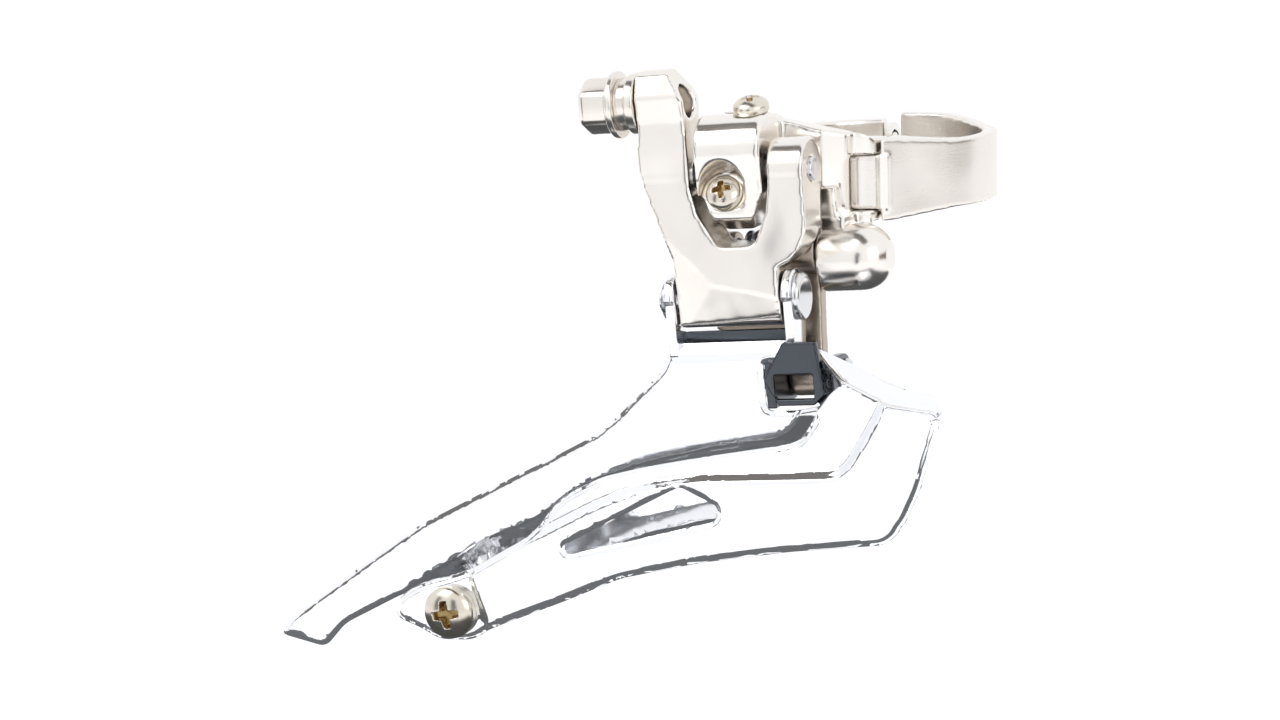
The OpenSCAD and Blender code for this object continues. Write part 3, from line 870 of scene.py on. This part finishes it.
@dataclass
class Clamp:
    """Hinged band, body casting, clamp bolt and hinge pin."""

    grid: float = 0.26
    bolt_head_x: float = -12.5
    bolt_axis: Point = (22.2, 0.0)

    def build(self) -> None:
        """Builds the clamp's pieces."""
        self._castings()
        self._bolt()
        self._hinge_pin()

    def _castings(self) -> None:
        """Body and band, their skins rounded as if polished."""
        body = Workpiece.from_node("clamp_body", LEVEL).softened(self.grid, 5)
        body.finished("clamp_body_casting", "body", POLISHED, LEVEL, ["clamp_body"])
        band = Workpiece.from_node("clamp_band", LEVEL).softened(self.grid, 4)
        band.finished("clamp_band_forging", "band", BAND, LEVEL, ["clamp_band"])

    def _bolt(self) -> None:
        """Socket-head bolt with a knurled head, and its washer."""
        knurls, knurl_depth = 32, 0.018
        section = [(0.0, 2.0), (2.2, 2.0), (2.35, 4.95), (4.1, 4.95), (4.1, 0.0), (0.0, 0.0)]
        head = Workpiece.lathe(rounded(section, 0.35, 4, closed=False), 96)
        for vert in head.bm.verts:
            radius = math.hypot(vert.co.x, vert.co.y)
            if radius > 3.9 and 0.5 < vert.co.z < 4.4:
                ripple = 1 - knurl_depth * (0.5 + 0.5 * math.cos(knurls * math.atan2(vert.co.y, vert.co.x)))
                vert.co.x *= ripple
                vert.co.y *= ripple
            elif 1.8 < radius < 2.6 and vert.co.z > 1.9:
                angle = math.atan2(vert.co.y, vert.co.x)
                flat = math.cos(math.pi / 6) / math.cos((angle % (math.pi / 3)) - math.pi / 6)
                vert.co.x *= flat * 1.1
                vert.co.y *= flat * 1.1
        bottom = self.bolt_head_x
        head.moved(Matrix.Rotation(math.pi, 4, "X")).along_x(bottom, self.bolt_axis)
        shank = Workpiece.lathe(cylinder_profile(2.42, 8.1, 0.2), 48).along_x(bottom, self.bolt_axis)
        core = Workpiece.lathe(cylinder_profile(1.94, 8.95, 0.5), 48).along_x(bottom + 8.1, self.bolt_axis)
        head.join(shank).join(core)
        head.finished("clamp_bolt_turned", "clamp_screw", BOLT_STEEL, LEVEL, ["clamp_bolt"])
        washer = Workpiece.lathe(ring_profile(2.55, 4.2, 1.0, 0.2)).along_x(bottom, self.bolt_axis)
        washer.finished("clamp_washer_turned", "clamp_screw", BOLT_STEEL, LEVEL, ["clamp_bolt_washer"])

    def _hinge_pin(self) -> None:
        """Upright pin with rounded, staked ends."""
        low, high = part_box("clamp_hinge_pin")
        middle = (low + high) / 2 / MM
        pin = Workpiece.lathe(cylinder_profile(1.25, (high.z - low.z) / MM, 0.3), 48)
        pin.moved(Matrix.Translation((middle.x, middle.y, low.z / MM)))
        pin.finished("hinge_pin_turned", "body", PIN_STEEL, LEVEL, ["clamp_hinge_pin"])


# ---------------------------------------------------------------- linkage


@dataclass
class Linkage:
    """The two links, their pins, bushes, clips and return spring, and the screws on them."""

    upper: Point = field(default_factory=lambda: pivot("outer_link"))
    inner: Point = field(default_factory=lambda: pivot("inner_link"))
    lower: Point = field(default_factory=lambda: pivot("cage"))
    pin_radius: float = 1.8

    def build(self) -> None:
        """Builds the linkage's pieces."""
        self._outer_link()
        self._inner_link()
        self._pins()
        self._clips()
        self._spring()
        self._limit_screws()
        self._cable_bolt()
        for node in ("outer_link_bushes", "inner_link_bushes"):
            dress_node(node, BUSH_POLYMER)
        dress_node("limit_screw_locks", LOCK_NYLON)

    @property
    def lower_inner(self) -> Point:
        """Axis of the lower inner pin, which closes the parallelogram."""
        return self.lower[0] + self.inner[0] - self.upper[0], self.lower[1] + self.inner[1] - self.upper[1]

    def _outer_link(self) -> None:
        """Outer link with its long side facet and the sloping foot under it."""
        link = Workpiece.from_node("outer_link", TILT)
        link.cut(Vector((-22.0, -41.4, -9.0)), Vector((-0.06, -0.975, -0.19)))
        beside = Vector((-0.911, 0, -0.41))
        slope = math.radians(12)
        link.cut(Vector((-20.0, -41.2, -2.0)), Vector((0, -1, 0)) * math.cos(slope) + beside * math.sin(slope))
        link.softened(0.26, 4)
        link.finished("outer_link_casting", "outer_link", POLISHED, TILT, ["outer_link"])

    def _inner_link(self) -> None:
        """Inner link, less polished than the outer one."""
        link = Workpiece.from_node("inner_link", TILT).softened(0.24, 4)
        link.finished("inner_link_casting", "inner_link", WARM_ALLOY, TILT, ["inner_link"])

    def _pins(self) -> None:
        """Four pins; the two lower ones have rounded heads at the front."""
        spans = {
            "upper_outer_pin": (self.upper, -27.7, -0.2, "body"),
            "upper_inner_pin": (self.inner, -22.8, 5.4, "body"),
            "lower_outer_pin": (self.lower, -25.8, -3.7, "cage"),
            "lower_inner_pin": (self.lower_inner, -10.4, 0.9, "cage"),
        }
        heads = {"lower_outer_pin": (3.7, 1.3), "lower_inner_pin": (2.6, 0.9)}
        for name, (at, start, end, body) in spans.items():
            pin = Workpiece.lathe(cylinder_profile(self.pin_radius, end - start, 0.35), 56).along_x(start, at)
            if name in heads:
                radius, height = heads[name]
                side = [(0.0, -0.01), (radius, -0.01), (radius, 0.75 * height)]
                top = [(radius - 0.7, height), (0.0, height)]
                dome = rounded(side + top, 0.45, 4, closed=False)
                pin.join(Workpiece.lathe(dome, 72).along_x(end, at))
            pin.finished(f"{name}_turned", body, PIN_STEEL, TILT, [name])

    def _clips(self) -> None:
        """Open spring clips at the rear ends of the two lower pins."""
        clip = None
        for at, start in ((self.lower, -25.0), (self.lower_inner, -9.8)):
            outer = arc((0, 0), 3.0, 110, 430, 36)
            inner = arc((0, 0), self.pin_radius, 423, 117, 30)
            ring = Workpiece.prism(outer + inner, 0.6, 0.12, 2)
            upright = Matrix.Rotation(math.pi / 2, 4, "X")
            ring.moved(Matrix.Translation((start, *at)) @ Matrix.Rotation(math.pi / 2, 4, "Z") @ upright)
            clip = ring if clip is None else clip.join(ring)
        clip.finished("pin_clips_stamped", "cage", SPRING_STEEL, TILT, ["pin_clips"])

    def _spring(self) -> None:
        """Torsion spring: a wire section spun round the inner pin, drawn out into two legs."""
        wire, radius, pitch, turns, rear = 0.55, 3.2, 1.35, 5.5, -14.5
        y, z = self.inner
        spring = Workpiece()
        centre = Vector((rear, y - radius, z))
        section = bmesh.ops.create_circle(
            spring.bm, cap_ends=False, radius=wire, segments=14, matrix=Matrix.Translation(centre)
        )
        edges = list({e for v in section["verts"] for e in v.link_edges})
        steps = int(turns * 28)
        made = bmesh.ops.spin(
            spring.bm,
            geom=section["verts"] + edges,
            cent=(0, y, z),
            axis=(-1, 0, 0),
            dvec=(pitch * turns / steps, 0, 0),
            angle=-math.tau * turns,
            steps=steps,
        )["geom_last"]
        ends = ((made, Vector((0, 0, 3))), (section["verts"] + edges, Vector((0, 0.1, -6))))
        for geom, leg in ends:
            loop = [e for e in geom if isinstance(e, bmesh.types.BMEdge)]
            tip = bmesh.ops.extrude_edge_only(spring.bm, edges=loop)["geom"]
            verts = [v for v in tip if isinstance(v, bmesh.types.BMVert)]
            bmesh.ops.translate(spring.bm, verts=verts, vec=leg)
            rim = [e for e in tip if isinstance(e, bmesh.types.BMEdge) and e.is_boundary]
            bmesh.ops.contextual_create(spring.bm, geom=rim)
        bmesh.ops.recalc_face_normals(spring.bm, faces=spring.bm.faces)
        spring.finished("return_spring_wire", "inner_link", SPRING_STEEL, TILT, ["return_spring"])

    def _limit_screws(self) -> None:
        """The two limit screws, their seats and tilts as on the body."""
        seats = {
            "high_limit_screw": (Vector((-10, -33.2, 12.6)), 14, 17.0, 20),
            "low_limit_screw": (Vector((-13.6, -38.2, 0.6)), 58, 9.5, 8),
        }
        for name, (seat, lean, length, turn) in seats.items():
            screw = CrossScrew(3.0, length, 5.6, 2.4, turn=turn).build()
            screw.moved(Matrix.Translation(seat) @ Matrix.Rotation(math.radians(lean), 4, "X"))
            screw.finished(f"{name}_turned", name, NICKEL, TILT, [name], RECESS_PAINTED_SHADE)

    def _cable_bolt(self) -> None:
        """Hexagon cable bolt with a flange, and the stepped washer that pinches the cable."""
        at = (-35.8, 15.0)
        face = -26.6
        head = Workpiece.prism(arc((0, 0), 4.62, 0, 300, 5), 4.7, 0.0)
        upright = [e for e in head.bm.edges if abs(e.verts[0].co.z - e.verts[1].co.z) > 1]
        bmesh.ops.bevel(head.bm, geom=upright, offset=0.9, segments=4, profile=0.5, affect="EDGES", material=-1)
        rear = [e for e in head.bm.edges if all(v.co.z < 0.01 for v in e.verts)]
        bmesh.ops.bevel(head.bm, geom=rear, offset=1.1, segments=5, profile=0.5, affect="EDGES", material=-1)
        head.along_x(face - 9.4, at)
        collar = [(0.0, 0.0), (4.6, 0.0), (5.2, 0.5), (5.2, 1.4), (0.0, 1.4)]
        flange = Workpiece.lathe(rounded(collar, 0.25, 4, closed=False))
        flange.along_x(face - 4.8, at)
        shank = Workpiece.lathe(cylinder_profile(2.5, 7.4, 0.4), 48).along_x(face - 3.4, at)
        head.join(flange).join(shank)
        head.finished("cable_bolt_forged", "cable_bolt", BOLT_STEEL, TILT, ["cable_bolt"])
        section = rounded([(2.55, 0.0), (4.1, 0.0), (4.1, 1.8), (4.7, 1.9), (4.7, 3.3), (2.55, 3.3)], 0.22, 3)
        washer = Workpiece.lathe(section).along_x(face - 3.4, at)
        washer.finished("cable_washer_turned", "cable_bolt", BOLT_STEEL, TILT, ["cable_washer"])


# ---------------------------------------------------------------- cage


@dataclass
class Cage:
    """Two pressed chain plates, the bracket of the inner link, rivets and the tail screw."""

    sheet: float = 1.2
    raised: float = 40.6
    low: float = 36.4
    base: float = 49.6
    lift: float = 1.6
    tail: Point = (-61.0, -61.6)
    lower: Point = field(default_factory=lambda: pivot("cage"))

    def build(self) -> None:
        """Builds the cage's pieces."""
        self._inner_plate()
        self._ears()
        self._outer_plate()
        self._bracket()
        self._rivets()
        self._tail()

    def _inner_plate(self) -> None:
        """Inner plate: a raised upper zone, a slanted step and the lower zone behind the outer plate."""
        step = [
            (-99.0, -75.0), (-88.7, -70.0), (-84.6, -66.0), (-74.0, -60.8), (-58.6, -52.4), (-48.0, -48.4),
            (-42.8, -44.6), (-37.5, -42.4), (-30.6, -40.4), (-20.5, -38.4), (-8.6, -36.8), (-5.6, -35.2),
            (-4.4, -32.6), (-4.2, -10.0),
        ]
        step = rounded(step, 2.5, 3, closed=False)
        upper = step + [(-110.0, -10.0)]
        top = [(-24.2, -21.9), (-25.2, -25.4), (-28.1, -28.0), (-33.7, -32.8), (-37.7, -35.7), (-46.3, -39.6),
               (-55.2, -43.4), (-70.0, -50.0), (-82.9, -57.8), (-94.4, -65.0), (-96.7, -67.8)]
        bottom = [(-88.7, -70.0), (-84.6, -66.0), (-74.3, -61.4), (-69.6, -60.4), (-66.0, -66.0), (-56.0, -66.0),
                  (-50.0, -60.0), (-42.0, -56.6), (-31.5, -53.0), (-18.2, -50.6), (-3.7, -49.4), (6.0, -48.8),
                  (10.4, -47.0), (14.0, -42.0), (16.8, -33.4), (12.0, -30.6), (4.0, -27.2), (1.4, -26.2)]
        notch = [(1.3, -32.6), (-9.2, -32.6), (-9.2, -24.8), (-4.5, -24.8), (-4.5, -21.9)]
        outline = rounded([*top, *bottom, *notch], 1.4, 4)
        crease = [(-24.0, -24.6), (-5.0, -24.6)]

        def face(spot: Point) -> float:
            """Outer face of the inner plate."""
            gap = distance_to(spot, step)
            side = 1.0 if within(spot, upper) else -1.0
            width = 2.2 + 2.2 * ease((spot[0] + 14.0) / 8.0)
            level = ease((side * gap + width - 0.2) / width)
            lip = 0.9 * ease((spot[1] - crease[0][1]) / 2.6) if spot[0] > -26 else 0.0
            rim = 0.35 * (1 - ease(distance_to(spot, outline, True) / 0.9))
            return self.low + (self.raised - self.low) * level - lip - rim

        holes = [arc(self.tail, 2.05, 0, 345, 23)]
        folds = [
            (outline + outline[:1], (-0.9, -0.5, 0.5, 0.9)),
            (step, (-0.5, -0.2, 0.3, 0.9, 1.5, 2.1, 2.5)),
            (crease, (0.0, 1.3)),
        ]
        plate = PressedPlate(outline, holes, face, folds)
        made = plate.build().finished("inner_plate_pressed", "cage", CHROME, TILT, ["inner_cage_plate"])
        plate.thicken(made)

    def _ears(self) -> None:
        """Two ears folded inboard from the inner plate's top edge, and between them a strip whose dark colour is
        painted shade.
        """
        for label, start in (("rear", -24.2), ("front", -5.2)):
            y, z = self.lower
            front = [(-self.raised + 0.1, z), (-self.raised + 0.1, -24.0), (-self.raised + 1.2, -24.3)]
            hem = front + [(-35.2, -24.3), (-34.4, -20.6)]
            outline = rounded(arc((y, z), 4.3, -52, 176, 30) + hem, 0.5, 3)
            ear = Workpiece.prism([(b, a) for a, b in outline][::-1], 1.5, 0.3, 3)
            ear.moved(Matrix(((0, 0, 1, start), (0, 1, 0, 0), (1, 0, 0, 0), (0, 0, 0, 1))))
            bmesh.ops.recalc_face_normals(ear.bm, faces=ear.bm.faces)
            ear.finished(f"inner_plate_ear_{label}", "cage", CHROME, TILT)
        # The strip between the ears takes the bracket's dark steel colour as painted shade behind the plate's top edge.
        strip = [(-22.9, -24.6), (-5.0, -24.6), (-5.0, -20.6), (-22.9, -20.6)]
        web = Workpiece.prism(rounded(strip, 0.6, 3), 0.9, 0.2, 2)
        web.outboard(35.4).finished("inner_plate_web_painted_shade", "cage", DARK_STEEL_AND_PAINTED_SHADE, TILT)

    def _outer_plate(self) -> None:
        """Outer plate: base level above, raised zone below, tail tab, slot and the roof at the nose."""
        crease = [(-54.0, -66.0), (-57.0, -54.9), (-34.4, -44.7), (-27.6, -42.4), (-18.0, -41.0), (4.2, -40.8),
                  (6.0, -39.8), (7.8, -37.6), (12.4, -30.6), (13.4, -27.0)]
        crease = rounded(crease, 2.0, 3, closed=False)
        zone = crease + [(40.0, -27.0), (40.0, -80.0), (-54.0, -80.0)]
        nose = [(21.4, -31.8), (17.2, -43.0), (14.6, -47.8), *arc((9.4, -46.6), 4.8, -25, -85, 6)]
        keel = [(-3.7, -52.2), (-18.2, -53.8), (-31.5, -56.2), (-41.8, -60.0), (-54.2, -64.2)]
        tab = [(-58.0, -66.4), (-64.0, -66.3), (-66.6, -64.6), (-71.2, -62.6), (-70.0, -59.2), (-66.2, -57.3),
               (-61.4, -56.2)]
        back = [(-57.0, -54.9), (-46.5, -49.6), (-44.2, -47.4), (-42.4, -45.2), (-39.4, -43.0), (-34.0, -40.8),
                (-27.0, -39.4), (-17.4, -38.0), (-5.0, -36.5), (-1.2, -35.6), (3.4, -29.2), (6.2, -26.9), (12.6, -30.4)]
        outline = rounded(nose + keel + tab + back, 1.6, 4)
        slot = [
            *arc((-39.4, -51.4), 0.9, 130, 290, 8),
            *arc((-16.4, -45.9), 1.7, 290, 395, 8),
            *arc((-20.6, -43.9), 1.8, 60, 118, 6),
        ]

        def face(spot: Point) -> float:
            """Outer face of the outer plate."""
            gap = distance_to(spot, crease)
            side = 1.0 if within(spot, zone) else -1.0
            level = ease((side * gap + 1.0) / 1.6)
            edge = distance_to(spot, outline, True)
            rim = 0.6 * (1 - ease((edge - 0.45) / 0.6)) if spot[1] < -32.5 else 0.0
            lip = 0.45 * (1 - ease(distance_to(spot, slot, True) / 0.8))
            return self.base + self.lift * level - rim - lip

        holes = [slot, arc(self.tail, 2.1, 0, 345, 23)]
        folds = [
            (outline + outline[:1], (-1.3, -1.05, -0.75, -0.45, 0.45, 0.75, 1.05, 1.3)),
            (crease, (-1.0, -0.7, -0.2, 0.3, 0.7, 1.0)),
            (slot + slot[:1], (-0.8, -0.4, 0.4, 0.8)),
        ]
        plate = PressedPlate(outline, holes, face, folds)
        made = plate.build()
        self._roof(plate, made)
        made = made.finished("outer_plate_pressed", "cage", CHROME, TILT, ["outer_cage_plate"])
        plate.thicken(made)

    def _roof(self, plate: PressedPlate, made: Workpiece) -> None:
        """Folds the outer plate's nose inboard over the chain, down to the flange on the inner plate."""
        reach = self.base + self.lift - self.low

        def on_top(spot: Vector) -> bool:
            """Whether a point lies on the edge that is folded."""
            return distance_to((spot.x, spot.z), [(6.4, -27.0), (12.6, -30.4), (21.0, -31.8)]) < 0.5

        def row(depth: float, rise: float) -> Callable[[Vector], Vector]:
            """One row of the fold, a depth inboard of the plate and a rise above its edge."""
            def move(spot: Vector) -> Vector:
                """Moves a point of the edge to this row."""
                share = depth / reach
                behind = ease((12.6 - spot.x) / 6)
                inward = -4.4 - 5.0 * behind
                upward = 0.2 + 1.1 * ease((18.0 - spot.x) / 8) + 2.2 * behind
                shift = Vector((share * inward, 0, rise + share * upward))
                return Vector((spot.x, spot.y + depth, spot.z)) + shift
            return move

        rows = [row(0.25, 0.18), row(0.7, 0.3)] + [row(0.7 + (reach - 1.9) * i / 12, 0.3) for i in range(1, 13)]
        plate.fold(made, on_top, rows)

    def _bracket(self) -> None:
        """Bracket that holds the inner link's lower end, with its window."""
        bracket = Workpiece.from_node("link_bracket", TILT).softened(0.16, 3)
        bracket.finished("link_bracket_pressed", "cage", DARK_STEEL_AND_PAINTED_SHADE, TILT, ["link_bracket"])

    def _rivets(self) -> None:
        """Two domed rivets that hold the roof's flange to the inner plate."""
        rivets = None
        for spot in ((5.5, -31.6), (11.4, -34.4)):
            foot = [(0.0, 0.0), (1.9, 0.0), (1.9, 0.7), (1.2, 0.7)]
            head = [(1.2, 3.1), (1.9, 3.1), (1.6, 3.7), (0.0, 3.7)]
            profile = rounded(foot + head, 0.3, 3, closed=False)
            rivet = Workpiece.lathe(profile, 40).outboard(self.low - self.sheet - 0.7, spot)
            rivets = rivet if rivets is None else rivets.join(rivet)
        rivets.finished("cage_rivets_set", "cage", PIN_STEEL, TILT, ["cage_rivets"])

    def _tail(self) -> None:
        """Tail screw with its cross recess, the spacer between the plates and the nut behind."""
        length = self.base - self.low + self.sheet + 2.4
        screw = CrossScrew(4.0, length, 8.3, 3.0, pitch=0.7, turn=6).build().outboard(self.base, self.tail)
        screw.finished("tail_screw_turned", "cage", NICKEL, TILT, ["tail_screw"], RECESS_PAINTED_SHADE)
        gap = self.base - self.sheet - self.low
        spacer = Workpiece.lathe(ring_profile(2.02, 3.3, gap, 0.2)).outboard(self.low, self.tail)
        spacer.finished("tail_spacer_turned", "cage", PIN_STEEL, TILT, ["tail_spacer"])
        nut = Workpiece.lathe(ring_profile(2.02, 3.5, 2.4, 0.35)).outboard(self.low - self.sheet - 2.4, self.tail)
        nut.finished("tail_nut_turned", "cage", BOLT_STEEL, TILT, ["tail_nut"])


# ---------------------------------------------------------------- studio


@dataclass
class Studio:
    """Pale floor, soft light, dark cards for the metal to mirror, and the camera."""

    azimuth: float = 21.0
    elevation: float = 10.5
    roll: float = 1.5
    eye: tuple[float, float, float] = (0.1493, -0.5006, 0.0653)
    lens: float = 91.4
    drop: float = 0.06

    def build(self) -> None:
        """Builds the stage."""
        self._world()
        self._floor()
        self._lights()
        self._camera()

    def _world(self) -> None:
        """Even, near-white surroundings."""
        world = bpy.data.worlds.new("studio")
        bpy.context.scene.world = world
        world.use_nodes = True
        background = world.node_tree.nodes["Background"]
        background.inputs["Color"].default_value = (0.98, 0.985, 1.0, 1)
        background.inputs["Strength"].default_value = 1.06
        bpy.context.scene.view_settings.view_transform = "Standard"

    def _floor(self) -> None:
        """Pale floor under the lowest point."""
        bm = bmesh.new()
        bmesh.ops.create_grid(bm, x_segments=2, y_segments=2, size=FLOOR_HALF_WIDTH)
        bm.transform(Matrix.Translation((0, 0, CAD_BOX[0].z - self.drop)))
        mesh = bpy.data.meshes.new("floor")
        bm.to_mesh(mesh)
        bm.free()
        floor = bpy.data.objects.new("floor", mesh)
        bpy.context.scene.collection.objects.link(floor)
        graph = Graph("pale_floor")
        matt = {"Base Color": (0.97, 0.97, 0.97, 1), "Roughness": 0.9}
        mesh.materials.append(graph.finish(graph.node("ShaderNodeBsdfPrincipled", None, matt)))

    def _card(
        self,
        name: str,
        place: tuple[float, float, float],
        size: tuple[float, float],
        colour: tuple[float, float, float],
        aim: tuple[float, float, float] = (-0.03, -0.03, -0.02),
    ) -> None:
        """Hangs a dark card that only the metal's reflections see.

        Args:
            name: The card's name.
            place: Its centre.
            size: Its width and height.
            colour: The light that it gives off.
            aim: The point that it faces.
        """
        bm = bmesh.new()
        bmesh.ops.create_grid(bm, x_segments=1, y_segments=1, size=0.5)
        bmesh.ops.scale(bm, verts=bm.verts, vec=(size[0], size[1], 1))
        towards = (Vector(aim) - Vector(place)).to_track_quat("Z", "Y").to_matrix().to_4x4()
        bm.transform(Matrix.Translation(place) @ towards)
        mesh = bpy.data.meshes.new(name)
        bm.to_mesh(mesh)
        bm.free()
        card = bpy.data.objects.new(name, mesh)
        bpy.context.scene.collection.objects.link(card)
        card.visible_camera = False
        card.visible_shadow = False
        card.visible_diffuse = False
        graph = Graph(name)
        glow = graph.node("ShaderNodeEmission", None, {"Color": (*colour, 1), "Strength": 1.0})
        mesh.materials.append(graph.finish(glow))

    def _lights(self) -> None:
        """Two large soft lights and the cards."""
        for name, place, energy, size in (
            ("key", Vector((-0.55, -0.55, 0.85)), 3.2, 0.7),
            ("fill", Vector((0.8, -0.6, 0.35)), 1.2, 0.6),
        ):
            light = bpy.data.lights.new(name, "AREA")
            light.energy = energy
            light.size = size
            lamp = bpy.data.objects.new(name, light)
            bpy.context.scene.collection.objects.link(lamp)
            aim = Vector((-0.03, -0.03, -0.03)) - place
            lamp.matrix_world = Matrix.Translation(place) @ aim.to_track_quat("-Z", "Y").to_matrix().to_4x4()
        ground = CAD_BOX[0].z - self.drop + 0.001
        self._card("card_below", (-0.08, -0.02, ground), (0.5, 0.36), (0.09, 0.095, 0.10), (-0.08, -0.02, 1.0))
        self._card("card_side", (0.62, 0.05, 0.03), (0.5, 0.16), (0.16, 0.12, 0.09))
        self._card("card_front", (-0.05, -0.70, -0.13), (0.17, 0.9), (0.10, 0.105, 0.12))
        self._card("card_left", (-0.50, -0.50, -0.12), (0.17, 0.9), (0.11, 0.10, 0.095))
        self._card("card_above", (-0.12, -0.16, 0.6), (0.8, 0.24), (0.13, 0.115, 0.105))

    def _camera(self) -> None:
        """Camera in front of and above the drive side, looking a little down."""
        yaw, pitch, roll = (math.radians(a) for a in (self.azimuth, self.elevation, self.roll))
        back = Vector((math.sin(yaw) * math.cos(pitch), -math.cos(yaw) * math.cos(pitch), math.sin(pitch)))
        turn = back.to_track_quat("Z", "Y").to_matrix().to_4x4() @ Matrix.Rotation(-roll, 4, "Z")
        data = bpy.data.cameras.new("camera")
        data.lens = self.lens
        data.sensor_width = 36.0
        data.clip_start = 0.01
        camera = bpy.data.objects.new("camera", data)
        bpy.context.scene.collection.objects.link(camera)
        camera.matrix_world = Matrix.Translation(self.eye) @ turn
        bpy.context.scene.camera = camera


def main() -> None:
    """Builds the derailleur and its stage."""
    logging.basicConfig(level=logging.INFO)
    for assembly in (Clamp(), Linkage(), Cage(), Studio()):
        assembly.build()


if __name__ == "__main__":
    main()
